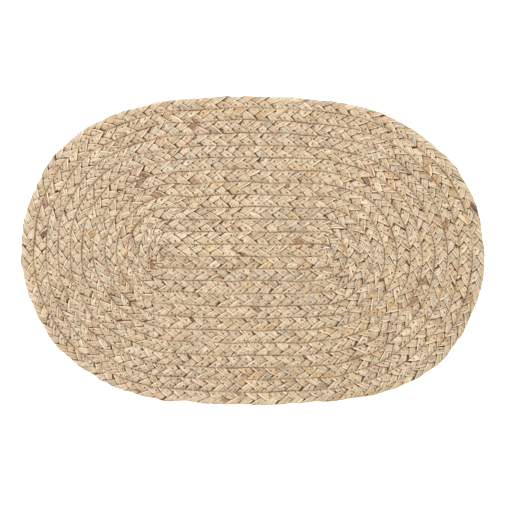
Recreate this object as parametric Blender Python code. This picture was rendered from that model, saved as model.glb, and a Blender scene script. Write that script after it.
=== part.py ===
"""Oval water hyacinth placemat: one flat braid wound into an oval and sewn row to row.

Lengths are in metres. The mat lies flat on its underside, with +X along the oval and +Z up.
"""

import math

import bmesh
import bpy

# The braid starts at the left turning point, runs right and winds clockwise as seen from above.
ROW_WIDTH = 0.012            # one row of the braid, from seam to seam
CENTRE_RUN = 0.144           # straight stretch between the two turning points
ROUNDS = 12                  # whole rounds outside the centre row
LEFT_PIVOT = (-CENTRE_RUN / 2, 0.0)
RIGHT_PIVOT = (CENTRE_RUN / 2, -ROW_WIDTH / 2)

THICKNESS = 0.0075           # crown of a row above the table
SEAM_HEIGHT = 0.0058         # valley between two rows, where the thread pulls them down
RIM_HEIGHT = 0.0034          # height at which the outermost row is widest
RIM_TUCK = 0.0016            # how far the underside draws in under the rim
LOWER_RIM = (0.25, 0.35)     # a point below the rim: shares of the tuck and of the rim's height

# Rows lie a little closer together away from the middle of the oval.
PINCH = 0.04                 # the share by which they close up
PINCH_REACH = 0.110          # distance from the middle at which they are fully closed up

# Past the right end the outermost row narrows, until its end is tucked under the last seam.
TAIL_START = math.radians(-45)
TAIL_END = math.radians(-81)

# Hand-sewn unevenness: round these directions the outline swells, or draws in if negative.
BULGES = (
    # direction in degrees, half width in degrees, distance outwards
    (-45, 40, 0.0007),
    (38, 28, -0.0007),
    (118, 22, 0.0010),
    (180, 18, -0.0012),
)

ARC_STEPS = 20                         # steps in half a turn round a turning point
RUN_STEPS = 6                          # steps along a straight stretch
ROW_SHARES = (0.2, 0.5, 0.8, 1.0)      # shares of a row's width that carry points, outwards
START_SHARES = (0.5, 0.8, 1.0)         # the same for the half row that rounds off the start
SHARP_EDGE = math.radians(40)
TINY = 1e-6


def blend(a, b, share):
    return a + (b - a) * share


def settled(x, y):
    """Where a point of the evenly wound oval lies once its rows have closed up and bulged."""
    reach = min(abs(x) / PINCH_REACH, 1.0)
    y *= 1 - PINCH * (1 - math.cos(math.pi * reach)) / 2
    distance = math.hypot(x, y)
    if distance < TINY:
        return x, y
    direction = math.degrees(math.atan2(y, x))
    outwards = 0.0
    for centre, half_width, size in BULGES:
        gap = abs((direction - centre + 180) % 360 - 180)
        if gap < half_width:
            outwards += size * (1 + math.cos(math.pi * gap / half_width)) / 2
    rim = CENTRE_RUN / 2 + ROUNDS * ROW_WIDTH
    stretch = 1 + outwards / distance * min(distance / rim, 1.0) ** 2
    return x * stretch, y * stretch


def crown_height(share):
    """Height across a row that has a neighbour on both sides, at a share of its width."""
    swell = math.sqrt(max(math.sin(math.pi * share), 0.0))
    return blend(SEAM_HEIGHT, THICKNESS, swell)


def rim_height(share):
    """Height across the outermost row, whose outer half rounds down to the rim."""
    if share <= 0.5:
        return crown_height(share)
    across = 2 * share - 1
    return blend(RIM_HEIGHT, THICKNESS, math.sqrt(max(1 - across * across, 0.0)))


def top_height(row, rows, share, tail):
    """Height of the top in one of so many rows. A tail under 1 thins the last row away."""
    kept = math.sqrt(tail)
    if row == rows - 1:
        return blend(RIM_HEIGHT, rim_height(share), kept)
    if row == rows - 2:
        return blend(rim_height(share), crown_height(share), kept)
    return crown_height(share)


def tail_share(angle):
    """How much of the outermost row's width is left at an angle round the right turning point."""
    gone = (TAIL_START - angle) / (TAIL_START - TAIL_END)
    return 1 - min(max(gone, 0.0), 1.0)


def spoke(bm, origin, direction, first_seam, rows, tail=1.0):
    """Points on a line across the rows, from the first seam out over the rim to the underside."""

    def point(distance, height):
        x = origin[0] + direction[0] * distance
        y = origin[1] + direction[1] * distance
        return bm.verts.new((*settled(x, y), height))

    verts = [point(first_seam, SEAM_HEIGHT)]
    for row in range(rows):
        seam = first_seam + row * ROW_WIDTH
        width = ROW_WIDTH * (tail if row == rows - 1 else 1.0)
        for share in ROW_SHARES:
            verts.append(point(seam + share * width, top_height(row, rows, share, tail)))
    rim = seam + width
    verts.append(point(rim - LOWER_RIM[0] * RIM_TUCK, LOWER_RIM[1] * RIM_HEIGHT))
    verts.append(point(rim - RIM_TUCK, 0.0))
    return verts


def start_spoke(bm, direction):
    """Points across the rounded start of the braid, from the left turning point outwards."""
    verts = []
    for share in START_SHARES:
        distance = (share - 0.5) * ROW_WIDTH
        x = LEFT_PIVOT[0] + direction[0] * distance
        y = LEFT_PIVOT[1] + direction[1] * distance
        verts.append(bm.verts.new((*settled(x, y), crown_height(share))))
    return verts


def skin(bm, spokes):
    """Faces between neighbouring spokes, which follow each other clockwise."""
    for a, b in zip(spokes, spokes[1:]):
        for k in range(len(a) - 1):
            bm.faces.new((a[k], a[k + 1], b[k + 1], b[k]))


def half_turn(start):
    """Angles of the spokes in half a turn, clockwise from a start angle."""
    return [start - math.pi * step / ARC_STEPS for step in range(ARC_STEPS + 1)]


def wound_rows(bm):
    """The whole top and rim. Where two stretches meet, their spokes hold the same points."""
    seam_y = RIGHT_PIVOT[1]
    half_run = CENTRE_RUN / 2
    xs = [blend(-half_run, half_run, step / RUN_STEPS) for step in range(RUN_STEPS + 1)]

    # Above the centre line, with the centre row as the innermost
    skin(bm, [spoke(bm, (x, seam_y), (0.0, 1.0), 0.0, ROUNDS + 1) for x in xs])

    # Round the right end, where the outermost row tapers to its tail
    turn = []
    for angle in half_turn(math.pi / 2):
        outwards = (math.cos(angle), math.sin(angle))
        turn.append(spoke(bm, RIGHT_PIVOT, outwards, 0.0, ROUNDS + 1, tail_share(angle)))
    skin(bm, turn)

    # Below the centre line
    skin(bm, [spoke(bm, (x, seam_y), (0.0, -1.0), 0.0, ROUNDS) for x in reversed(xs)])

    # Round the left end, with the braid's own start inside the turns
    turn = []
    start = []
    for angle in half_turn(-math.pi / 2):
        outwards = (math.cos(angle), math.sin(angle))
        turn.append(spoke(bm, LEFT_PIVOT, outwards, ROW_WIDTH / 2, ROUNDS))
        start.append(start_spoke(bm, outwards))
    skin(bm, turn)
    skin(bm, start)

    bmesh.ops.remove_doubles(bm, verts=bm.verts, dist=TINY)
    bmesh.ops.dissolve_degenerate(bm, edges=bm.edges, dist=TINY)


def make_mat():
    """The whole mat as one flat solid, with the middle of its underside at the origin."""
    bm = bmesh.new()
    wound_rows(bm)
    outline = [edge for edge in bm.edges if edge.is_boundary]
    bmesh.ops.triangle_fill(bm, edges=outline, use_beauty=True, normal=(0.0, 0.0, -1.0))
    bmesh.ops.recalc_face_normals(bm, faces=bm.faces)
    for axis in (0, 1):
        places = [vert.co[axis] for vert in bm.verts]
        middle = (min(places) + max(places)) / 2
        for vert in bm.verts:
            vert.co[axis] -= middle
    mesh = bpy.data.meshes.new("mat")
    bm.to_mesh(mesh)
    bm.free()
    mesh.shade_smooth()
    mesh.set_sharp_from_angle(angle=SHARP_EDGE)
    mat = bpy.data.objects.new("mat", mesh)
    bpy.context.collection.objects.link(mat)
    return mat


def make_straw():
    """Dried, split water hyacinth stem: pale straw, dry and dull."""
    straw = bpy.data.materials.new("dried_water_hyacinth")
    straw.use_nodes = True
    shader = straw.node_tree.nodes["Principled BSDF"]
    shader.inputs["Base Color"].default_value = (0.60, 0.47, 0.31, 1.0)
    shader.inputs["Roughness"].default_value = 0.72
    shader.inputs["Metallic"].default_value = 0.0
    return straw


for old in list(bpy.data.objects):
    bpy.data.objects.remove(old, do_unlink=True)
make_mat().data.materials.append(make_straw())
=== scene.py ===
import math

import bpy
import numpy as np
from mathutils.bvhtree import BVHTree
from mathutils.kdtree import KDTree
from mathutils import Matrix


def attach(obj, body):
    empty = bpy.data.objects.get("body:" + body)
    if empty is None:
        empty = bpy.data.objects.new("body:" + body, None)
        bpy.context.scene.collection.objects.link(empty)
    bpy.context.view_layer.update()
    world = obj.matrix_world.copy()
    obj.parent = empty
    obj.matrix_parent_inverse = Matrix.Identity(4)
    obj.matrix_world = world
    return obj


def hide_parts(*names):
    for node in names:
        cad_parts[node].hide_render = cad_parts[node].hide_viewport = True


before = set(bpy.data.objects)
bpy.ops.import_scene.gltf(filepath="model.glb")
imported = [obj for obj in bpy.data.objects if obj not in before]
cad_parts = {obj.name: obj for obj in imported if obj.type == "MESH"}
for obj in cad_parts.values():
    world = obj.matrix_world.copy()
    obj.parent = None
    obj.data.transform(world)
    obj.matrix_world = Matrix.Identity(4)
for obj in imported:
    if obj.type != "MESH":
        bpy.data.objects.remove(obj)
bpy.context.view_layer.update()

# The winding
# One flat braid starts at the left turning point, runs right along the middle and winds outwards
# clockwise, each row sewn against the last. A place on it is a distance along its centre line and
# a distance outwards from that line, in metres.
ROW_WIDTH = 0.012            # one row of the braid, from seam to seam
CENTRE_RUN = 0.144           # straight stretch between the two turning points
ROUNDS = 12                  # whole rounds outside the centre row
LEFT_PIVOT = (-CENTRE_RUN / 2, 0.0)
RIGHT_PIVOT = (CENTRE_RUN / 2, -ROW_WIDTH / 2)
TAIL_START = math.radians(45)      # where the last row starts to taper, past the right end
TAIL_END = math.radians(81)
TAIL_TUCK = 0.4              # 1 narrows the tail's strands, 0 slips them under the row inside
TAIL_LEAST = 0.06            # share of the braid that is left at the very end
PATH_STEP = 0.001
TURN_STEPS = 24              # fewest steps in a turn
SPARE = 0.04                 # the path is carried on this far past both ends

PINCH = 0.04                 # rows close up by this share towards the ends of the oval
PINCH_REACH = 0.110          # distance from the middle at which they have closed up
START_PULL = 0.0076          # how far the tight first turn draws the start to the left
START_REACH = 0.046          # distance over which that pull fades
START_ROUNDING = 0.0062      # the start is rounded over this length
START_NARROWEST = 0.0060     # and gets no narrower past this one
WOBBLES = (0.036, 0.044, 0.053, 0.061, 0.070)    # lengths of the waves in which the rows stray
WOBBLE = 0.00030             # how far each of them moves the rows
WOBBLE_TURN = 2.4            # radians between the directions of two waves
RIM_CALM = 0.7               # how much less the rim strays
RIM_CALM_RUN = 0.1           # length of braid in which the last round calms down
BULGES = (
    # direction in degrees, half width in degrees, distance outwards
    (-55, 36, 0.0015),
    (35, 28, -0.0010),
    (116, 16, 0.0012),
    (131, 12, -0.0026),
    (102, 9, -0.0016),
    (180, 24, -0.0028),
    (-144, 12, -0.0028),
    (-91, 16, -0.0022),
    (-161, 12, -0.0022),
    (162, 10, -0.0012),
    (0, 40, 0.0010),
    (20, 14, 0.0014),
)
TINY = 1e-6
MILLIMETRES = 1000           # in a metre


def straight_row(y, way):
    """Centre points and outward directions of a straight row, travelled towards way."""
    x = np.arange(0.0, CENTRE_RUN, PATH_STEP) - CENTRE_RUN / 2
    points = np.stack([x * way, np.full(len(x), y)], 1)
    return points, np.tile([0.0, float(way)], (len(x), 1))


def turned_row(pivot, radius, sweep, start):
    """The same for a clockwise turn of so many radians round a pivot."""
    count = max(int(radius * sweep / PATH_STEP), TURN_STEPS)
    angles = start - sweep * np.arange(count) / count
    outwards = np.stack([np.cos(angles), np.sin(angles)], 1)
    return np.array(pivot) + radius * outwards, outwards


def wind_braid():
    """Distance along the centre line, its points and its outward directions."""
    up = math.pi / 2
    rows = [straight_row(0.0, 1), turned_row(RIGHT_PIVOT, ROW_WIDTH / 2, math.pi, up)]
    for k in range(1, ROUNDS + 1):
        rows.append(straight_row(-k * ROW_WIDTH, -1))
        rows.append(turned_row(LEFT_PIVOT, k * ROW_WIDTH, math.pi, -up))
        rows.append(straight_row(k * ROW_WIDTH, 1))
        sweep = math.pi if k < ROUNDS else up + TAIL_END
        rows.append(turned_row(RIGHT_PIVOT, (k + 0.5) * ROW_WIDTH, sweep, up))
    points = np.concatenate([row[0] for row in rows])
    outwards = np.concatenate([row[1] for row in rows])
    # Both ends carry straight on, so that a strand can reach a little past them.
    ahead = np.array([outwards[-1][1], -outwards[-1][0]])
    points = np.concatenate([[points[0] - [SPARE, 0.0]], points, [points[-1] + SPARE * ahead]])
    outwards = np.concatenate([outwards[:1], outwards, outwards[-1:]])
    steps = np.hypot(*np.diff(points, axis=0).T)
    return np.concatenate([[0.0], np.cumsum(steps)]) - SPARE, points, outwards


path_along, path_points, path_outwards = wind_braid()
BRAID_LENGTH = path_along[-1] - SPARE
TAIL_LENGTH = (TAIL_END - TAIL_START) * (ROUNDS + 0.5) * ROW_WIDTH

# The outermost round is a straight row, the turn to the left, a straight row and the last turn.
turn_before = math.pi * ROUNDS * ROW_WIDTH
last_turn = (ROUNDS + 0.5) * ROW_WIDTH * (math.pi / 2 + TAIL_END)
LAST_ROUND = BRAID_LENGTH - last_turn - CENTRE_RUN - (turn_before + CENTRE_RUN)


def settled(x, y):
    """Where a point of the evenly wound oval lies once its rows have closed up and bulged."""
    reach = np.minimum(np.abs(x) / PINCH_REACH, 1.0)
    y = y * (1 - PINCH * (1 - np.cos(np.pi * reach)) / 2)
    distance = np.maximum(np.hypot(x, y), TINY)
    direction = np.degrees(np.arctan2(y, x))
    outwards = np.zeros_like(distance)
    for centre, half_width, size in BULGES:
        gap = np.minimum(np.abs((direction - centre + 180) % 360 - 180), half_width)
        outwards += size * (1 + np.cos(np.pi * gap / half_width)) / 2
    rim = CENTRE_RUN / 2 + ROUNDS * ROW_WIDTH
    stretch = 1 + outwards / distance * np.minimum(distance / rim, 1.0) ** 2
    return x * stretch, y * stretch


def tail_share(along):
    """How much of the braid's width and thickness is left where it tapers to its end."""
    return np.clip((BRAID_LENGTH - along) / TAIL_LENGTH, TAIL_LEAST, 1.0)


def strayed(x, y, along, across):
    """Where a point of the mat lies once its rows have strayed in waves, the rim's the least."""
    to_rim = np.clip((along - LAST_ROUND) / RIM_CALM_RUN + across / ROW_WIDTH + 0.5, 0.0, 1.0)
    size = WOBBLE * (1 - to_rim * RIM_CALM)
    for number, length in enumerate(WOBBLES):
        turn = number * WOBBLE_TURN
        wave = 2 * math.pi / length * (x * math.cos(turn) + y * math.sin(turn)) + turn
        x = x + size * np.sin(wave)
        y = y + size * np.cos(wave + turn)
    return x, y


def lie(along, across, height):
    """Points above the table for places on the braid. Its middle comes to lie at the origin."""
    before = np.clip(along, -START_NARROWEST, 0.0)
    across = across * np.sqrt(1 - (before / START_ROUNDING) ** 2)
    share = tail_share(along)
    rim_side = ROW_WIDTH * (share - 0.5)
    across = rim_side - (ROW_WIDTH / 2 - across) * share ** TAIL_TUCK
    out_x = np.interp(along, path_along, path_outwards[:, 0])
    out_y = np.interp(along, path_along, path_outwards[:, 1])
    size = np.hypot(out_x, out_y)
    x = np.interp(along, path_along, path_points[:, 0]) + across * out_x / size
    y = np.interp(along, path_along, path_points[:, 1]) + across * out_y / size
    x, y = settled(x, y)
    from_start = np.hypot(x - LEFT_PIVOT[0], y - LEFT_PIVOT[1])
    x = x - START_PULL * np.exp(-((from_start / START_REACH) ** 2))
    x, y = strayed(x, y, along, across)
    return np.stack([x - middle[0], y - middle[1], height * np.ones_like(x)], -1)


# The mat's middle is the origin, as in the solid. It is measured on the braid's outer edge.
RIM_LENGTH = 1.2             # this much of the braid, counted from its end, goes all round the rim
RIM_POINTS = 4000
middle = np.zeros(2)
rim_along = np.linspace(BRAID_LENGTH - RIM_LENGTH, BRAID_LENGTH, RIM_POINTS)
rim = lie(rim_along, np.full(RIM_POINTS, ROW_WIDTH / 2), 0.0)
middle = (rim[:, :2].min(0) + rim[:, :2].max(0)) / 2

# The three strands
# Each is a flattened bundle of three leaf strips of dried, split water hyacinth stem. It crosses
# the row on top from the middle to an edge, folds down round the edge, comes back underneath and
# rises through the middle towards the other edge.
STRANDS = 3                  # plaited into one flat braid
PLAIT = 0.0364               # distance along the row in which a strand comes back to its place
MID_HEIGHT = 0.00375         # height of the braid's middle above the table
LAYER = 0.00188              # height of the top layer over the middle of the braid
REACH = 0.00558              # how far outwards a strand's own middle gets at its fold
SQUARENESS = 5.2             # 2 folds round an ellipse, more folds nearer the edge
FOLD_POINTS = 721            # points on the curve that a fold follows
RISE = 0.0019                # half the length in which a strand rises from below to the top
RISE_EARLY = 0.0005          # how far before the middle of the row it is halfway up
CROWN = 0.07                 # how much lower a strand lies at its sides
CROWDING = 0.00028           # how much further than its own place a strand reaches on each side
WIDENING = 0.10              # how much wider a strand is at its folds
ROUNDING = 0.05              # how much less far outwards a fold's sides get than its middle
RIM_ROUNDING = 0.12          # the same where no other row is sewn against the fold
RIM_TIGHT = 0.14             # how much closer in the folds at the rim lie
SWERVE = 0.00045             # makes a strand steeper on top than at its folds
LAP = -0.060                 # tips a strand, so that its forward edge lies over its neighbour
WANDER = 0.055               # how much looser or tighter the plaiting gets
WANDER_STEP = 0.09           # length of braid between two such changes
WANDER_SPAN = 8              # changes on either side that even each other out
DRIFT = 0.00030              # how far the sewing lets a row stray sideways
DRIFT_STEP = 0.014
PLAITING_SEED = 41

# One fold as a squarish half ellipse: how far out, how high, and the length of strand up to there
turn = np.linspace(0.0, math.pi, FOLD_POINTS)
fold_out = REACH * np.sin(turn) ** (2 / SQUARENESS)
fold_up = np.sign(np.cos(turn)) * np.abs(np.cos(turn)) ** (2 / SQUARENESS)
fold_steps = np.hypot(np.diff(fold_out), LAYER * np.diff(fold_up))
fold_run = np.concatenate([[0.0], np.cumsum(fold_steps)])
QUARTER = fold_run[-1] / 2                       # from the middle of the row to the fold's edge
LEAN = math.atan(QUARTER / (PLAIT / 4))          # angle between a strand and its row
CROSSING = 2 * QUARTER / math.sin(LEAN)          # length of strand from one rise to the next
HALF_WIDTH = PLAIT / STRANDS * math.sin(LEAN) / 2 + CROWDING
CROSSINGS = int(BRAID_LENGTH / (PLAIT / 2)) + 1
random = np.random.default_rng(PLAITING_SEED)

# The plaiting is looser and tighter in turn, which moves the crossings along the row, but not
# those at its two ends.
wander_places = np.arange(-SPARE, BRAID_LENGTH + SPARE, WANDER_STEP)
wander = np.cumsum(random.normal(0.0, WANDER_STEP * WANDER, len(wander_places)))
evened = np.ones(2 * WANDER_SPAN + 1) / (2 * WANDER_SPAN + 1)
wander -= np.convolve(np.pad(wander, WANDER_SPAN, "edge"), evened, "valid")
wander[:2] = 0.0
wander[-2:] = 0.0
drift_places = np.arange(-SPARE, BRAID_LENGTH + SPARE, DRIFT_STEP)
drift = random.normal(0.0, DRIFT, len(drift_places))

# A strip is a folded leaf. Its edges are thin, and lap over or under those of the next strip.
STRIPS = 3                   # side by side in each strand
STRIP_CUTS = (-0.55, 0.48)   # where the strips meet, in half widths of the strand
CUT_SPREAD = 0.30            # how far these places stray
OVERLAP = 0.00028            # how far a strip reaches past such a place
STRIP_LEAST = 0.0007         # no strip is narrower than this
STRIP_THICK = 0.00125        # half the thickness of a strip
THICK_SPREAD = 0.10          # the share by which that varies
LIFT_SPREAD = 0.00010        # how far one strip stands out over the next
STRIP_SECTION = ((-1, 0), (-1, 1), (1, 1), (1, 0), (1, -1), (-1, -1))    # sideways, upwards
EDGE_BEVEL = 0.80            # the share of a strip's width that is flat
EDGE_MOST = 0.0004           # the widest that its thin edges get
STRAND_START = -0.0052       # where along the row the strands begin
PROBE = 0.0002               # distance at which a strand's slope is felt

# Distances along a strip, from a rise or a fold, at which it has a ring of points
RISE_RINGS = (-0.0024, -0.0012, -0.0001, 0.0013)
AFTER_RISE = 0.0036
FOLD_RINGS = (-0.0040, -0.0022, -0.0007, 0.0007, 0.0022, 0.0040)
BEFORE_RISE = -0.0042


def uneven(spacing, spread, most=2.5):
    """Random values along a strand, one for each piece of it of this length."""
    length = (CROSSINGS + 4) * CROSSING
    places = np.arange(-2 * CROSSING, length, spacing)
    return places, np.clip(random.normal(0.0, 1.0, len(places)), -most, most) * spread


def along_strand(table, along):
    return np.interp(along, *table)


class Strand:
    """One of the three strands, with the unevenness of its own."""

    def __init__(self, number):
        self.offset = number * PLAIT / STRANDS
        # How far it strays sideways, in metres
        self.sideways = uneven(CROSSING / 2, 0.00036)
        # Shares of its height, width and reach, and the slope at which it is tipped
        self.higher = uneven(CROSSING / 2, 0.055)
        self.wider = uneven(CROSSING / 2, 0.07)
        self.further = uneven(CROSSING / 2, 0.075)
        self.twist = uneven(CROSSING / 2, 0.05)
        # How far it strays along the row, in metres
        self.ahead = uneven(CROSSING / 2, 0.00045)
        # Colour, for each crossing and for longer stretches of stem from one batch
        self.tone = uneven(CROSSING, 1.0)
        self.tint = uneven(CROSSING, 1.0)
        self.dull = uneven(CROSSING, 1.0)
        self.batch_tint = uneven(CROSSING * 14, 0.75)
        self.batch_dull = uneven(CROSSING * 17, 0.85)
        self.seams = [uneven(CROSSING * 0.5, CUT_SPREAD, 1.6) for _ in STRIP_CUTS]

    def place(self, along, across):
        """Distance along the row, outwards and upwards for a place on the flat strand."""
        across = across * (1 + along_strand(self.wider, along)) + along_strand(self.sideways, along)
        # A flat strand that leans across the row, folded each time it gets to an edge
        run = along * math.sin(LEAN) + across * math.cos(LEAN)
        row = self.offset + along * math.cos(LEAN) - across * math.sin(LEAN)
        crossing = np.floor(run / (2 * QUARTER))
        within = run - crossing * 2 * QUARTER
        side = 1 - 2 * (crossing % 2)
        out = side * np.interp(within, fold_run, fold_out)
        up = np.interp(within, fold_run, fold_up)
        # It rises from below to the top in the middle of the row, between the other two strands.
        level = along + across / math.tan(2 * LEAN) + RISE_EARLY
        from_rise = level - np.round(level / CROSSING) * CROSSING
        rising = np.sin(np.clip(from_rise / RISE, -1, 1) * math.pi / 2)
        up = np.where(np.abs(from_rise) < CROSSING / 4, rising * np.abs(up), up)
        up = up * (1 - CROWN * (across / HALF_WIDTH) ** 2)
        # Its folds are rounded, and each is a little different.
        at_rim = (row > LAST_ROUND) & (out > 0)
        rounding = np.where(at_rim, RIM_ROUNDING, ROUNDING)
        out = out * (1 - rounding * np.minimum(across / HALF_WIDTH, 1.0) ** 2 - RIM_TIGHT * at_rim)
        out = out * (1 + along_strand(self.further, along)) + np.interp(row, drift_places, drift)
        up = up * (1 + along_strand(self.higher, along)) * LAYER
        up = up + (LAP + along_strand(self.twist, along)) * across * up / LAYER
        row = row + SWERVE * np.sin(2 * math.pi * within / QUARTER) + along_strand(self.ahead, along)
        row = row + np.interp(row, wander_places, wander)
        return np.stack([row, out, MID_HEIGHT + up], -1)

    def stations(self, strip_middle):
        """Places along a strip, closer at folds and rises, and how each ring there is slanted."""
        fold_slant = -1 / math.tan(LEAN)
        rise_slant = -1 / math.tan(2 * LEAN)
        between = (rise_slant + fold_slant) / 2
        # Distance from a rise or fold, slant of the ring, slant and place of the rise or fold
        pattern = [(step, rise_slant, rise_slant, 0.0) for step in RISE_RINGS]
        pattern.append((AFTER_RISE, between, rise_slant, 0.0))
        pattern += [(step, fold_slant, fold_slant, 0.5) for step in FOLD_RINGS]
        pattern.append((BEFORE_RISE, between, rise_slant, 1.0))
        places = []
        slants = []
        for crossing in range(-2, CROSSINGS):
            for step, slant, line_slant, part in pattern:
                places.append((crossing + part) * CROSSING + line_slant * strip_middle + step)
                slants.append(slant)
        places = np.array(places)
        order = np.argsort(places)
        return places[order], np.array(slants)[order]


def middle_of_strip(strip):
    """How far across its strand a strip lies."""
    return (strip - (STRIPS - 1) / 2) * 2 * HALF_WIDTH / STRIPS


def strip_edges(strand, strip, along):
    """How far across the strand a strip's two edges lie, and half the strand's own width."""
    fold = np.abs(np.cos(np.pi * along / CROSSING))
    width = HALF_WIDTH * (1 + WIDENING * (1 - fold))
    cuts = [-width]
    for even, seam in zip(STRIP_CUTS, strand.seams):
        cuts.append(width * (even + along_strand(seam, along)))
    cuts.append(width)
    low = cuts[strip] - (OVERLAP if strip > 0 else 0.0)
    high = cuts[strip + 1] + (OVERLAP if strip < STRIPS - 1 else 0.0)
    return low, np.maximum(high, low + STRIP_LEAST), width


def strip_rings(strand, strip):
    """Rings of points down a strip, what its material reads there, and the strip's half widths."""
    strip_middle = middle_of_strip(strip)
    along, slant = strand.stations(strip_middle)
    start = (STRAND_START - strand.offset) / math.cos(LEAN)
    end = (BRAID_LENGTH - strand.offset) / math.cos(LEAN)
    kept = (along > start) & (along < end)
    along = along[kept]
    slant = slant[kept]
    low, high, width = strip_edges(strand, strip, along)
    centre = (low + high) / 2
    half = (high - low) / 2
    flat = np.maximum(half * EDGE_BEVEL, half - EDGE_MOST)
    shift = along_strand(uneven(CROSSING / 2, LIFT_SPREAD), along)
    thick = STRIP_THICK * (1 + along_strand(uneven(CROSSING, THICK_SPREAD), along))
    rings = []
    reads = []
    for side, rise in STRIP_SECTION:
        reach = np.where(rise == 0, half, flat)
        across = centre + side * reach
        place = along + slant * (across - strip_middle)
        point = strand.place(place, across)
        ahead = strand.place(place + PROBE, across) - strand.place(place - PROBE, across)
        beside = strand.place(place, across + PROBE) - strand.place(place, across - PROBE)
        normal = np.cross(ahead, beside)
        normal /= np.maximum(np.linalg.norm(normal, axis=-1, keepdims=True), 1e-12)
        rings.append(point + normal * (rise * thick + shift)[:, None])
        reads.append(np.stack([place, side * reach / half, across / width], -1))
    return np.stack(rings, 1), np.stack(reads, 1), along, half


SHARP_EDGE = math.radians(50)
SKIN_TOP = 0.97              # share of the layout's height that the tube's skin takes
SKIN_MARGIN = 0.05           # bare share of a row of the layout on either side
CAP_RADIUS = 0.008
CAP_PLACE = np.array([0.01, 0.988])
CAP_APART = np.array([0.03, 0.0])


def tube_layout(count, sides, uv_rows):
    """A flat layout of a tube's skin in rows, one above the other, with its two ends in a corner."""
    in_row = math.ceil((count - 1) / uv_rows)
    ring = np.arange(count - 1)
    side = np.arange(sides)[None, :]
    row = (ring // in_row)[:, None]
    left = (ring % in_row) / in_row
    right = left + 1 / in_row
    used = 1 - 2 * SKIN_MARGIN
    low = (row + SKIN_MARGIN + used * side / sides) / uv_rows * SKIN_TOP
    high = (row + SKIN_MARGIN + used * (side + 1) / sides) / uv_rows * SKIN_TOP
    left = np.broadcast_to(left[:, None], low.shape)
    right = np.broadcast_to(right[:, None], low.shape)
    corners = np.stack([left, low, left, high, right, high, right, low], -1).reshape(-1, 2)
    angle = np.arange(sides) / sides * 2 * math.pi
    cap = CAP_PLACE + CAP_RADIUS * np.stack([np.cos(angle), np.sin(angle)], -1)
    return np.concatenate([corners, cap, cap + CAP_APART])


def tube_mesh(name, rings, reads, uv_rows):
    """A closed tube through rings of points. reads holds values for the material at each point."""
    count, sides = rings.shape[:2]
    first = np.arange(count - 1)[:, None] * sides
    side = np.arange(sides)[None, :]
    following = (side + 1) % sides
    quads = [first + side, first + following, first + sides + following, first + sides + side]
    caps = np.concatenate([np.arange(sides)[::-1], (count - 1) * sides + np.arange(sides)])
    loops = np.concatenate([np.stack(quads, -1).reshape(-1), caps]).astype(np.int32)
    face_count = (count - 1) * sides
    starts = np.concatenate([np.arange(face_count) * 4, [face_count * 4, face_count * 4 + sides]])
    mesh = bpy.data.meshes.new(name)
    mesh.vertices.add(count * sides)
    mesh.vertices.foreach_set("co", rings.reshape(-1).astype(np.float32))
    mesh.loops.add(len(loops))
    mesh.loops.foreach_set("vertex_index", loops)
    mesh.polygons.add(face_count + 2)
    mesh.polygons.foreach_set("loop_start", starts.astype(np.int32))
    mesh.update(calc_edges=True)
    for key, values in reads.items():
        layer = mesh.attributes.new(key, "FLOAT", "POINT")
        spread = np.broadcast_to(values, (count, sides)).reshape(-1)
        layer.data.foreach_set("value", spread.astype(np.float32))
    layout = tube_layout(count, sides, uv_rows).reshape(-1)
    mesh.uv_layers.new(name="OFBake").data.foreach_set("uv", layout.astype(np.float32))
    mesh.shade_smooth()
    mesh.set_sharp_from_angle(angle=SHARP_EDGE)
    mesh.validate()
    return mesh


class Wire:
    """A value in a material, on which Python's arithmetic adds Math nodes."""

    def __init__(self, paint, socket):
        self.paint = paint
        self.socket = socket

    def work(self, operation, *values):
        return self.paint.node("ShaderNodeMath", {"operation": operation}, dict(enumerate(values)))

    def __add__(self, other):
        return self.work("ADD", self, other)

    def __mul__(self, other):
        return self.work("MULTIPLY", self, other)

    def __sub__(self, other):
        return self.work("SUBTRACT", self, other)

    def __rsub__(self, other):
        return self.work("SUBTRACT", other, self)

    def __truediv__(self, other):
        return self.work("DIVIDE", self, other)

    def __lt__(self, other):
        return self.work("LESS_THAN", self, other)

    __radd__ = __add__
    __rmul__ = __mul__

    def absolute(self):
        return self.work("ABSOLUTE", self)

    def floor(self):
        return self.work("FLOOR", self)

    def sine(self):
        return self.work("SINE", self)

    def clamped(self):
        return self.paint.node("ShaderNodeClamp", {}, {"Value": self})

    def ramp(self, low, high):
        """0 below low, 1 above high and a soft step between them, or the other way round."""
        settings = {"interpolation_type": "SMOOTHSTEP"}
        inputs = {"Value": self, "From Min": low, "From Max": high}
        return self.paint.node("ShaderNodeMapRange", settings, inputs)


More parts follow.
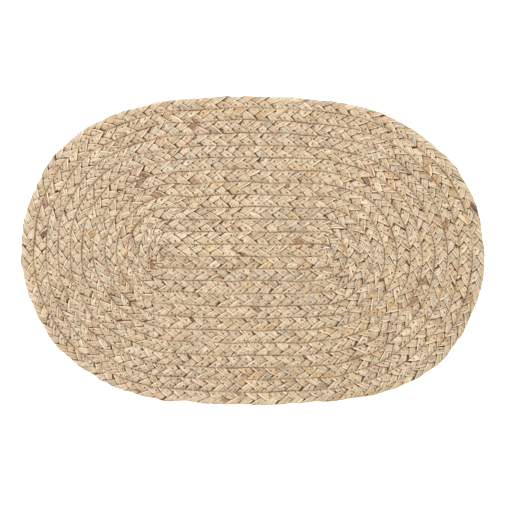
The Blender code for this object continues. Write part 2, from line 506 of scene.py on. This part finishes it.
class Paint:
    """A material whose nodes are added one at a time."""

    def __init__(self, name):
        self.material = bpy.data.materials.new(name)
        self.material.use_nodes = True
        self.tree = self.material.node_tree
        self.shader = self.tree.nodes["Principled BSDF"]

    def node(self, kind, settings, inputs, output=0):
        """One node of a type, with its settings or a ramp's stops, and what its sockets take."""
        made = self.tree.nodes.new(kind)
        for key, value in settings.items():
            if key == "stops":
                self.set_stops(made.color_ramp, value)
            else:
                setattr(made, key, value)
        for key, value in inputs.items():
            self.feed(made.inputs[key], value)
        return Wire(self, made.outputs[output])

    def set_stops(self, ramp, stops):
        while len(ramp.elements) < len(stops):
            ramp.elements.new(0.5)
        for element, (position, colour) in zip(ramp.elements, stops):
            element.position = position
            element.color = (*colour, 1.0)

    def feed(self, socket, value):
        if isinstance(value, Wire):
            self.tree.links.new(value.socket, socket)
        else:
            socket.default_value = value

    def read(self, name):
        return self.node("ShaderNodeAttribute", {"attribute_name": name}, {}, "Fac")

    def vector(self, x, y, z=0.0):
        return self.node("ShaderNodeCombineXYZ", {}, {"X": x, "Y": y, "Z": z})

    def noise(self, vector, detail=2.0, roughness=0.5):
        inputs = {"Vector": vector, "Scale": 1.0, "Detail": detail, "Roughness": roughness}
        return self.node("ShaderNodeTexNoise", {}, inputs, "Fac")

    def mix(self, share, a, b, way="MIX"):
        # By place, because a Mix node has sockets of the same name for numbers and colours
        settings = {"data_type": "RGBA", "blend_type": way}
        return self.node("ShaderNodeMix", settings, {0: share, 6: a, 7: b}, 2)

    def bump(self, height, strength, distance):
        inputs = {"Height": height, "Strength": strength, "Distance": distance}
        return self.node("ShaderNodeBump", {}, inputs)


# The straw's colours from the darkest to the bleached leaf, what tints or stains it,
# and the painted highlights and shade laid over it
STRAW = (
    (0.00, (0.180, 0.101, 0.043)),
    (0.25, (0.385, 0.252, 0.130)),
    (0.50, (0.560, 0.426, 0.280)),
    (0.75, (0.698, 0.575, 0.412)),
    (1.00, (0.840, 0.760, 0.610)),
)
MEAN_SHADE = 0.538
TONE_SHADE = 0.095           # how much a leaf's own tone changes its shade
PINK = (1.00, 0.87, 0.83, 1.0)
GOLD = (1.00, 0.86, 0.66, 1.0)
GREY = (0.79, 0.86, 0.93, 1.0)
SIDE_BROWN = (0.97, 0.88, 0.71, 1.0)
RUST = (0.250, 0.090, 0.036, 1.0)
ROT = (0.075, 0.028, 0.016, 1.0)
# Painted highlight; painted shade with darker specks; painted gap shadow; painted shade in holes
PAINTED_HIGHLIGHT = (0.84, 0.72, 0.51, 1.0)
SHADE_AND_SPECKS = (0.175, 0.072, 0.023, 1.0)
GAP_SHADOW = (0.120, 0.045, 0.012, 1.0)
HOLE_SHADE = (0.040, 0.015, 0.007, 1.0)
GRAIN_DEPTH = 0.0004         # metres of relief in the leaf's surface
STRIP_SEED = 13.7            # each strip's grain is read this far from the last one's

# Folds pressed into a leaf
CREASES = 3
CREASE_SPREAD = 4.5          # how widely they are scattered, in half widths of the leaf
CREASE_SEED = 20             # each crease's path is read this far from the last one's

# The sewing, in millimetres, because the material works in them
NEEDLE_STEP = 5.8            # from one needle hole to the next
NEEDLE_OUT = 3.0             # from the middle of the row to a hole
HOLE_STRAYS = (12.9, 17.2, 21.5)    # radians a hole that make holes stray ahead, aside and in size
HOLE_SIDE = 2.0              # radians between the strays of the outer and the inner side
HOLE_AHEAD = 0.22            # how far holes stray along the row, in steps
HOLE_ASIDE = 0.42            # and across it, in millimetres
HOLE_ROUND = (0.84, 0.46)    # square of the distance at which a hole's edge starts and is full
HOLE_DEPTH = 0.85            # under 1, some holes are nearly closed
SEAM = (5.42, 5.60)          # how far out the shadow in the seam starts and is full


class StrawPaint(Paint):
    """Dried water hyacinth stem: pale straw with fibres, creases and stains, and painted light and
    shade.
    """

    def __init__(self, name, strip_number):
        super().__init__(name)
        self.seed = strip_number * STRIP_SEED
        self.along = self.read("along") * MILLIMETRES
        self.across = self.read("across")
        self.half = self.read("half_width") * MILLIMETRES
        self.sideways = self.across * self.half
        self.strand_across = self.read("strand_across")
        self.row_place = self.read("row_place") * MILLIMETRES
        self.row_out = self.read("row_out") * MILLIMETRES
        self.inner = self.row_out < 0.0
        self.fibres = self.grain(0.014, 2.6, 0, 3.0, 0.6)
        self.threads = self.grain(0.045, 6.5, 5, 2.0, 0.6)
        self.streaks = self.grain(0.018, 1.4, 11, 1.0, 0.5)
        self.patches = self.grain(0.16, 0.5, 9, 2.0, 0.5)
        self.specks = self.grain(0.50, 0.70, 3, 2.0, 0.7)
        crease, lip = self.creases()
        hole = self.needle_holes()
        stained = self.stained(self.tinted(self.shade()))
        # Over the straw go painted highlights, painted shade on edges and creases, painted shadow in
        # the gaps and seams, and painted shade in the needle holes.
        lit = self.mix(self.painted_highlights(lip), stained, PAINTED_HIGHLIGHT)
        dimmed = self.mix(self.shade_and_specks(crease), lit, SHADE_AND_SPECKS)
        gap_shadowed = self.mix(self.gap_shadows(crease), dimmed, GAP_SHADOW)
        relief = self.fibres * 0.5 + self.threads * 0.35 + self.specks * 0.15
        relief = relief - hole * 1.6 - crease * 0.9 + lip * 0.3
        self.feed(self.shader.inputs["Base Color"], self.mix(hole, gap_shadowed, HOLE_SHADE))
        self.feed(self.shader.inputs["Roughness"], 0.50 + self.fibres * 0.25 + hole * 0.2)
        self.feed(self.shader.inputs["Normal"], self.bump(relief, 0.50, GRAIN_DEPTH))
        self.shader.inputs["Specular IOR Level"].default_value = 0.35

    def grain(self, lengthways, crossways, offset, detail, roughness):
        """Noise drawn out along the leaf. The first two numbers are repeats a millimetre."""
        place = self.vector(self.along * lengthways, self.sideways * crossways, self.seed + offset)
        return self.noise(place, detail, roughness)

    def creases(self):
        """Folds pressed into the leaf run down it as fine lines, with painted shade in the fold and a
        painted highlight on its lip.
        """
        crease = 0.0
        lip = 0.0
        for number in range(CREASES):
            seed = self.seed + CREASE_SEED * (number + 1)
            path = self.noise(self.vector(self.along * 0.012, seed), 1.0)
            there = self.noise(self.vector(self.along * 0.09, seed + 7), 1.0).ramp(0.44, 0.54)
            off = self.sideways - (path - 0.5) * self.half * CREASE_SPREAD
            crease = crease + off.absolute().ramp(0.25, 0.08) * there
            lip = lip + off.ramp(0.14, 0.30) * off.ramp(0.75, 0.40) * there
        return crease.clamped(), lip.clamped()

    def needle_holes(self):
        """Holes on both sides of each seam, painted dark as shade and dented in the relief. The
        thread crosses from one to the next.
        """
        place = self.row_place / NEEDLE_STEP + self.inner * 0.5
        cell = place.floor()
        strays = [(cell * stray + self.inner * HOLE_SIDE).sine() for stray in HOLE_STRAYS]
        ahead = (place - cell - 0.5 - strays[0] * HOLE_AHEAD) * NEEDLE_STEP
        aside = self.row_out.absolute() - NEEDLE_OUT - strays[1] * HOLE_ASIDE
        near = ahead * ahead + aside * aside
        hole = near.ramp(*HOLE_ROUND) * (strays[2] + HOLE_DEPTH).clamped()
        last_round = self.row_place.ramp(LAST_ROUND * MILLIMETRES - 1, LAST_ROUND * MILLIMETRES)
        return hole * (1 - last_round * (1 - self.inner))

    def shade(self):
        """From 0, dark, to 1, bleached: the leaf's own tone, its grain and its broad stripes."""
        shade = MEAN_SHADE + self.read("tone") * TONE_SHADE
        shade = shade + (self.fibres - 0.5) * 0.24 + (self.threads - 0.5) * 0.30
        shade = shade + (self.patches - 0.5) * 0.25 + (self.specks - 0.5) * 0.60
        stripes = self.grain(0.008, 1.5, 15, 1.0, 0.5)
        striped = stripes.ramp(0.45, 0.38) - stripes.ramp(0.56, 0.63)
        return shade + (self.streaks - 0.5) * 0.46 + striped * 0.08

    def tinted(self, shade):
        """The straw's colour: some leaves dried pink, golden or grey, and the strand's sides are
        browner.
        """
        straw = self.node("ShaderNodeValToRGB", {"stops": STRAW}, {"Fac": shade}, "Color")
        tint = self.read("tint")
        pink = self.mix(tint.ramp(0.4, 2.2), straw, PINK, "MULTIPLY")
        gold = self.mix((0 - tint).ramp(0.8, 2.3), pink, GOLD, "MULTIPLY")
        grey = self.mix(self.read("dull").ramp(1.0, 2.3), gold, GREY, "MULTIPLY")
        browner_sides = self.strand_across.absolute().ramp(0.50, 0.95)
        return self.mix(browner_sides * 0.60, grey, SIDE_BROWN, "MULTIPLY")

    def stained(self, straw):
        """Rust brown streaks where accent is up to 1, and nearly black where it is up to 2."""
        accent = self.read("accent")
        rusted = accent.clamped() * (self.streaks.ramp(0.34, 0.60) * 0.45 + 0.55)
        rust = self.mix(rusted, straw, RUST)
        return self.mix((accent - 1).clamped(), rust, ROT)

    def painted_highlights(self, lip):
        """Painted highlights on the rolled edges of leaves, the lips of creases and the strand's
        forward edge.
        """
        across = self.across
        rolled_edge_highlight = across.ramp(0.52, 0.68) * across.ramp(0.96, 0.84) * self.patches.ramp(0.45, 0.62)
        leading_edge_highlight = self.strand_across.ramp(-0.62, -0.72) * self.strand_across.ramp(-0.90, -0.86)
        leading_edge_highlight = leading_edge_highlight * self.patches.ramp(0.26, 0.46)
        return (rolled_edge_highlight * 0.50 + lip * 0.28 + leading_edge_highlight * 0.76).clamped()

    def shade_and_specks(self, crease):
        """Painted shade on the strips' thin edges and in the creases, and the leaf's own darker
        specks.
        """
        edge = self.across.absolute().ramp(0.88, 1.0)
        specked = self.specks.ramp(0.62, 0.74) * 0.55
        return (edge * 0.38 + specked + crease * 0.35).clamped()

    def gap_shadows(self, crease):
        """Painted shadow in the gaps: at each strand's forward edge, under the next strand's covering
        edge, in patchy dashes along the seam, and in the creases.
        """
        forward_edge_shadow = self.strand_across.ramp(-0.875, -0.915) * self.patches.ramp(0.08, 0.30)
        covered_shadow = self.strand_across.ramp(0.78, 0.82) * self.patches.ramp(0.12, 0.34)
        dashes = self.noise(self.vector(self.row_place * 0.62, self.inner * 3.0, 31.0), 1.0)
        seam_patchiness = self.noise(self.vector(self.row_place * 0.016, 57.0), 1.0)
        seam = self.row_out.absolute().ramp(*SEAM)
        seam = seam * dashes.ramp(0.42, 0.54) * seam_patchiness.ramp(0.32, 0.58)
        return (covered_shadow * 0.9 + forward_edge_shadow + seam + crease * 0.42).clamped()


STAINS = (
    # x and y in millimetres, how strong: 1 is rust brown and 2 nearly black
    (-102, 75, 1.35),
    (-107, 64, 0.9),
    (-90, 57, 0.8),
    (107, 65, 1.3),
    (188, 22, 1.0),
    (155, -52, 1.0),
    (163, -28, 0.9),
    (48, 10, 0.9),
    (4, -56, 0.9),
    (-95, -13, 0.9),
    (-202, 49, 0.8),
    (-54, 120, 0.9),
    (-199, 15, 1.7),
    (213, 37, 1.7),
)
STAIN_REACH = 5.0            # millimetres between a stain and the middle of a stained leaf
LEAF_MIDDLE = 0.25           # middle of a leaf that shows, as a share of the way to the next rise
LEAF_END = 0.6               # where it has gone round the fold
RARE = 1.62                  # a leaf whose random value is over this is rusty all by itself
RARE_SOFT = 0.35             # and wholly so when it is this much higher still
START_DULL = 1.6             # how much greyer the start of the braid is
START_GREY = 0.004           # where along the strands it is greyest
START_GREY_REACH = 0.016     # distance over which that fades
LEAF_LENGTHS = (0.05, 0.22)  # shortest and longest leaf in a strip
VARIETY = {
    # share of the strand's own value, share of the leaf's, and how much its crossings differ
    "tone": (0.8, 0.45, 0.70),
    "tint": (0.8, 0.60, 0.35),
    "dull": (0.7, 0.70, 0.50),
}
PRESSED_BELOW = 0.0006       # under this height the table presses the strands flatter
PRESSED = 0.6                # by this share of how far they are under it
STRIP_ROWS = 36              # rows in the layout of a strip
strips = []


def stain_values(strand, along, across):
    """How strongly each place on a strip is stained. A stain colours a leaf from rise to fold."""
    lobe = np.floor(along / CROSSING)
    seen = strand.place((lobe + LEAF_MIDDLE) * CROSSING, np.full(len(along), across))
    middles = lie(seen[:, 0], seen[:, 1], 0.0) * MILLIMETRES
    on_top = along / CROSSING - lobe < LEAF_END
    result = np.zeros(len(along))
    for x, y, strength in STAINS:
        near = np.hypot(middles[:, 0] - x, middles[:, 1] - y) < STAIN_REACH
        result = np.maximum(result, near * on_top * strength)
    return result


def leaf_values(along, spread):
    """One random value for each leaf and a smaller one for each crossing, along a strip."""
    shortest, longest = LEAF_LENGTHS
    joints = np.cumsum(random.uniform(shortest, longest, int((along[-1] + 0.1) / shortest)))
    leaves = random.normal(0.0, 1.0, len(joints) + 1)
    leaf = leaves[np.searchsorted(joints, along)]
    crossing = np.floor(along / CROSSING - 0.25).astype(int) + 1
    single = random.normal(0.0, 1.0, crossing.max() + 2)[crossing]
    return leaf * (1 - spread) + single * spread


def varied(kind, table, along):
    """A strip's tone, tint or dullness, from its strand's own and from that of its leaves."""
    strand_share, leaf_share, spread = VARIETY[kind]
    return along_strand(table, along) * strand_share + leaf_values(along, spread) * leaf_share


for strand_number in range(STRANDS):
    strand = Strand(strand_number)
    for strip_number in range(STRIPS):
        name = f"strand_{strand_number + 1}_leaf_{strip_number + 1}"
        rings, reads, along, half_widths = strip_rings(strand, strip_number)
        tone = varied("tone", strand.tone, along)
        tint = varied("tint", strand.tint, along)
        tint = tint + along_strand(strand.batch_tint, along)
        dull = varied("dull", strand.dull, along)
        dull = dull + along_strand(strand.batch_dull, along)
        dull = dull + START_DULL * np.exp(-((along - START_GREY) / START_GREY_REACH) ** 2)
        rusty = np.clip((leaf_values(along, 0.70) - RARE) / RARE_SOFT, 0.0, 1.0)
        stain = stain_values(strand, along, middle_of_strip(strip_number))
        values = {
            "along": reads[..., 0],
            "across": reads[..., 1],
            "half_width": half_widths[:, None],
            "strand_across": reads[..., 2],
            "row_place": rings[..., 0],
            "row_out": rings[..., 1],
            "tone": tone[:, None],
            "tint": tint[:, None],
            "dull": dull[:, None],
            "accent": np.maximum(rusty, stain)[:, None],
        }
        placed = lie(rings[..., 0], rings[..., 1], 0.0)
        from_middle = (rings[..., 2] - MID_HEIGHT) * np.sqrt(tail_share(rings[..., 0]))
        placed[..., 2] = MID_HEIGHT + from_middle
        placed[..., 2] += PRESSED * np.maximum(PRESSED_BELOW - placed[..., 2], 0.0)
        strip = bpy.data.objects.new(name, tube_mesh(name, placed, values, STRIP_ROWS))
        bpy.context.collection.objects.link(strip)
        straw = StrawPaint(name, strand_number * STRIPS + strip_number)
        strip.data.materials.append(straw.material)
        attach(strip, "root")
        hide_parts("mat")
        strips.append(strip)

# The braid's dark core
# A dark brown tube of painted shade fills the braid between its top and bottom layer, from the
# first row to the last, and shows as shade in the gaps between the strands.
SHADE_CORE_STEP = 0.004            # length of braid from one ring of points to the next
SHADE_CORE_START = -0.004
SHADE_CORE_OUT = 5.9               # millimetres from the middle of the row to its edge
SHADE_CORE_AT_RIM = 4.4            # the same in the outermost round
SHADE_CORE_RIM_EARLY = 0.01        # how far before that round it draws in
SHADE_CORE_SECTION = (
    # millimetres outwards and upwards from the middle of the row
    (-SHADE_CORE_OUT, 0.9),
    (-2.5, 1.2),
    (2.5, 1.2),
    (SHADE_CORE_OUT, 0.9),
    (SHADE_CORE_OUT, -0.9),
    (2.5, -1.2),
    (-2.5, -1.2),
    (-SHADE_CORE_OUT, -0.9),
)
SHADE_CORE_ROWS = 30               # rows in the layout of the pith
SHADE_CORE_DARK = (0.16, 0.09, 0.045, 1.0)
SHADE_CORE_PALE = (0.42, 0.28, 0.16, 1.0)
shade_core_along = np.arange(SHADE_CORE_START, BRAID_LENGTH, SHADE_CORE_STEP)
shade_core_reach = np.where(shade_core_along > LAST_ROUND - SHADE_CORE_RIM_EARLY, SHADE_CORE_AT_RIM, SHADE_CORE_OUT)
shade_core_left = np.sqrt(tail_share(shade_core_along))
shade_core_rings = []
for out, up in SHADE_CORE_SECTION:
    out = np.minimum(out, shade_core_reach) / MILLIMETRES
    shade_core_rings.append(lie(shade_core_along, out, MID_HEIGHT + up / MILLIMETRES * shade_core_left))
shade_core_values = {
    "along": shade_core_along[:, None],
    "across": np.array([out for out, up in SHADE_CORE_SECTION])[None, :],
}
shade_core_mesh = tube_mesh("painted_shade_core", np.stack(shade_core_rings, 1), shade_core_values, SHADE_CORE_ROWS)
shade_core = bpy.data.objects.new("painted_shade_core", shade_core_mesh)
bpy.context.collection.objects.link(shade_core)
shade_core_paint = Paint("painted_shade_core")
# Its dark and paler brown, mixed by fibre-like noise, is painted shade in the gaps.
shade_core_place = shade_core_paint.vector(shade_core_paint.read("along") * 300, shade_core_paint.read("across") * 2)
shade_core_grain = shade_core_paint.noise(shade_core_place)
shade_core_colour = shade_core_paint.mix(shade_core_grain, SHADE_CORE_DARK, SHADE_CORE_PALE)
shade_core_paint.feed(shade_core_paint.shader.inputs["Base Color"], shade_core_colour)
shade_core_paint.feed(shade_core_paint.shader.inputs["Roughness"], shade_core_grain * 0.2 + 0.7)
shade_core_paint.feed(shade_core_paint.shader.inputs["Normal"], shade_core_paint.bump(shade_core_grain, 0.6, 0.0005))
shade_core.data.materials.append(shade_core_paint.material)
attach(shade_core, "root")
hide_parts("mat")

# The sewing
# A fine straw-coloured thread zigzags over every seam, on the top and underneath. It goes through
# the needle holes on both sides of the seam and holds the rows together.
THREAD = 0.00015             # half the thread's width
THREAD_HIGH = 1.7            # its height, in half widths
THREAD_SUNK = 0.0009         # how far under the strands' surface the thread passes in a hole
THREAD_LIFT = 0.00012        # how far over it the thread lies elsewhere
STITCH = (
    # share of the way from hole to hole, height over the strands' surface
    (0.0, -THREAD_SUNK),
    (0.05, THREAD_LIFT),
    (0.95, THREAD_LIFT),
)
THREAD_RING = 0.002          # rough length of thread from one ring to the next
THREAD_ROWS = 30             # rows in the layout of a thread
THREAD_DARK = (0.50, 0.37, 0.22, 1.0)
THREAD_PALE = (0.72, 0.58, 0.40, 1.0)
FIRST_STITCH = CENTRE_RUN + 0.020    # before this there is no row inside to be sewn to
HOLES_TRIED = 4              # holes beyond the seam from which a stitch takes the nearest
ROW_APART = 0.01             # a hole this far back along the braid is in an earlier row
SEEN_FROM = 0.02             # height from which the surface is felt for


def needle_holes(side):
    """Places of the holes along the outer side of the braid, 0, or its inner side, 1."""
    cell = np.arange(int(BRAID_LENGTH * MILLIMETRES / NEEDLE_STEP) - 1)
    ahead, aside, _ = [np.sin(cell * stray + side * HOLE_SIDE) for stray in HOLE_STRAYS]
    along = (cell + 0.5 + ahead * HOLE_AHEAD - side * 0.5) * NEEDLE_STEP / MILLIMETRES
    return along, (NEEDLE_OUT + aside * HOLE_ASIDE) / MILLIMETRES * (1 - 2 * side)


def stitch_places():
    """Points on the table under the stitches' ends, in sewing order, from hole to hole."""
    outer = needle_holes(0)
    inner = needle_holes(1)
    own = lie(*inner, 0.0)
    alongs = np.concatenate([outer[0], inner[0]])
    tree = KDTree(len(alongs))
    for number, hole in enumerate(np.concatenate([lie(*outer, 0.0), own])):
        tree.insert(hole, number)
    tree.balance()
    halfway = (inner[0][:-1] + inner[0][1:]) / 2
    beyond = lie(halfway, -ROW_WIDTH / 2 - NEEDLE_OUT / MILLIMETRES, 0.0)
    places = []
    for number, along in enumerate(halfway):
        if along < FIRST_STITCH:
            continue
        places.append(own[number])
        nearest = tree.find_n(beyond[number], HOLES_TRIED)
        earlier = [place for place, found, _ in nearest if alongs[found] < along - ROW_APART]
        if earlier:
            places.append(np.array(earlier[0]))
    return np.array(places)


def sewn(surface, places, face):
    """Rings of a thread that lies on one face of the mat, 1 for the top and -1 for underneath."""
    heights = []
    for place in places:
        start = (place[0], place[1], face * SEEN_FROM + MID_HEIGHT)
        found = surface.ray_cast(start, (0.0, 0.0, -face))[0]
        heights.append(found[2] if found else MID_HEIGHT)
    here = np.column_stack([places[:, :2], heights])
    run = here[1:, :2] - here[:-1, :2]
    run /= np.maximum(np.hypot(run[:, 0], run[:, 1]), TINY)[:, None]
    left = np.column_stack([-run[:, 1], run[:, 0], np.zeros(len(run))]) * THREAD * face
    up = np.array([0.0, 0.0, THREAD * THREAD_HIGH * face])
    rings = []
    for share, lift in STITCH:
        middle = here[:-1] * (1 - share) + here[1:] * share
        middle[:, 2] += lift * face
        rings.append(np.stack([middle - left, middle + up, middle + left], 1))
    return np.stack(rings, 1).reshape(-1, 3, 3)


def sewing_surface():
    """The strands' faces, without the ends, as one tree that rays can be cast at."""
    points = []
    faces = []
    for strip in strips:
        count = len(strip.data.vertices)
        values = np.empty(count * 3, np.float32)
        strip.data.vertices.foreach_get("co", values)
        corners = np.empty(len(strip.data.loops), np.int32)
        strip.data.loops.foreach_get("vertex_index", corners)
        quads = corners[:-2 * len(STRIP_SECTION)].reshape(-1, 4) + len(points)
        faces += quads.tolist()
        points += values.reshape(-1, 3).tolist()
    return BVHTree.FromPolygons(points, faces)


surface = sewing_surface()
places = stitch_places()
for name, face in (("top_thread", 1), ("bottom_thread", -1)):
    thread_rings = sewn(surface, places, face)
    along = np.arange(len(thread_rings))[:, None] * THREAD_RING
    thread_mesh = tube_mesh(name, thread_rings, {"along": along}, THREAD_ROWS)
    thread = bpy.data.objects.new(name, thread_mesh)
    bpy.context.collection.objects.link(thread)
    thread_paint = Paint(name)
    spun = thread_paint.noise(thread_paint.vector(thread_paint.read("along") * 900, 0.0))
    thread_colour = thread_paint.mix(spun, THREAD_DARK, THREAD_PALE)
    thread_paint.feed(thread_paint.shader.inputs["Base Color"], thread_colour)
    thread_paint.feed(thread_paint.shader.inputs["Roughness"], spun * 0.2 + 0.55)
    thread.data.materials.append(thread_paint.material)
    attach(thread, "root")
    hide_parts("mat")

# The table top, light and camera
# A plain white surface, lit softly from all round, with a large square lamp to the upper left.
# The camera looks straight down from high up.
FLOOR_SIZE = 3.0             # from its middle to its sides
FLOOR_GREY = 0.93
FLOOR_GLOW = 0.4             # keeps the surface as white as a photographer's table
SKY_STRENGTH = 1.06
KEY_PLACE = (-0.5, 0.8, 1.4)
KEY_SIZE = 1.1               # length of the lamp's sides
KEY_WATTS = 13.0
floor_corners = [(x * FLOOR_SIZE, y * FLOOR_SIZE, 0) for x, y in ((-1, -1), (1, -1), (1, 1), (-1, 1))]
floor_mesh = bpy.data.meshes.new("floor")
floor_mesh.from_pydata(floor_corners, [], [(0, 1, 2, 3)])
floor = bpy.data.objects.new("floor", floor_mesh)
bpy.context.collection.objects.link(floor)
floor_paint = Paint("white_surface")
floor_paint.shader.inputs["Base Color"].default_value = (FLOOR_GREY, FLOOR_GREY, FLOOR_GREY, 1.0)
floor_paint.shader.inputs["Roughness"].default_value = 0.9
floor_paint.shader.inputs["Emission Color"].default_value = (1.0, 1.0, 1.0, 1.0)
floor_paint.shader.inputs["Emission Strength"].default_value = FLOOR_GLOW
floor_mesh.materials.append(floor_paint.material)

world = bpy.data.worlds.new("studio")
world.use_nodes = True
world.node_tree.nodes["Background"].inputs["Color"].default_value = (1.0, 1.0, 1.0, 1.0)
world.node_tree.nodes["Background"].inputs["Strength"].default_value = SKY_STRENGTH
bpy.context.scene.world = world

key_data = bpy.data.lights.new("key", "AREA")
key_data.size = KEY_SIZE
key_data.energy = KEY_WATTS
key = bpy.data.objects.new("key", key_data)
key.location = KEY_PLACE
key.rotation_euler = (-key.location).to_track_quat("-Z", "Y").to_euler()
bpy.context.collection.objects.link(key)

LENS = 85.0                  # millimetres, as the sensor's width
SENSOR = 36.0
VIEW_WIDTH = 0.4947          # width of table that the view takes in
VIEW_MIDDLE = (0.0013, -0.0044)      # the place on the table under the camera
camera_data = bpy.data.cameras.new("camera")
camera_data.lens = LENS
camera_data.sensor_width = SENSOR
camera = bpy.data.objects.new("camera", camera_data)
camera.location = (*VIEW_MIDDLE, VIEW_WIDTH * LENS / SENSOR)
bpy.context.collection.objects.link(camera)
bpy.context.scene.camera = camera
bpy.context.scene.view_settings.view_transform = "Standard"
